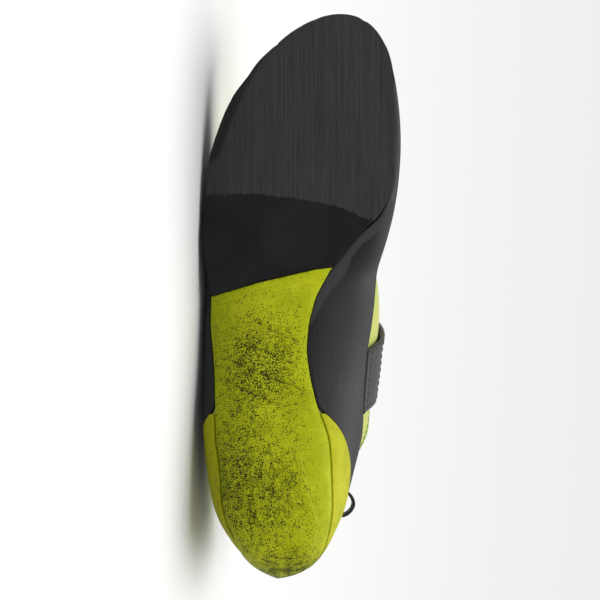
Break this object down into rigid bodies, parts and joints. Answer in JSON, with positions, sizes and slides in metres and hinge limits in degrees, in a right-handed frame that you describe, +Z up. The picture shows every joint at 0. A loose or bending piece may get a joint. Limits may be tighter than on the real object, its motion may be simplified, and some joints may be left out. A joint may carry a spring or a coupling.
{
  "type": "climbing shoe",
  "caption": "Right rock-climbing shoe in lime and black with one instep strap, a smooth black forefoot sole, a lime arch and heel sole, a heel cup and a rand, lying on its side.",
  "frame": {"origin": "centre of the bounding box on the floor that the shoe lies on", "axes": "+Z up from the floor towards the big-toe side, -X towards the toe, -Y the side that the sole faces"},
  "size_m": [0.2612, 0.1004, 0.0901],
  "materials": {
    "upper": "matt lime microfibre",
    "tongue": "black padded mesh",
    "insole": "dark grey felt",
    "outsole_forefoot": "ground black rubber",
    "sole_arch_and_heel": "lime rubber with black flecks",
    "heel_cup": "moulded lime rubber",
    "rand": "buffed black rubber",
    "strap": "black hook-and-loop webbing",
    "collar_binding": "bright green elastic tape",
    "pull_loop": "black webbing"
  },
  "bodies": {
    "root": {"upper": "upper", "tongue": "tongue", "insole": "insole", "outsole_forefoot": "outsole_forefoot", "sole_arch_and_heel": "sole_arch_and_heel", "heel_cup": "heel_cup", "rand": "rand", "strap": "strap", "collar_binding": "collar_binding", "pull_loop": "pull_loop"}
  },
  "joints": []
}
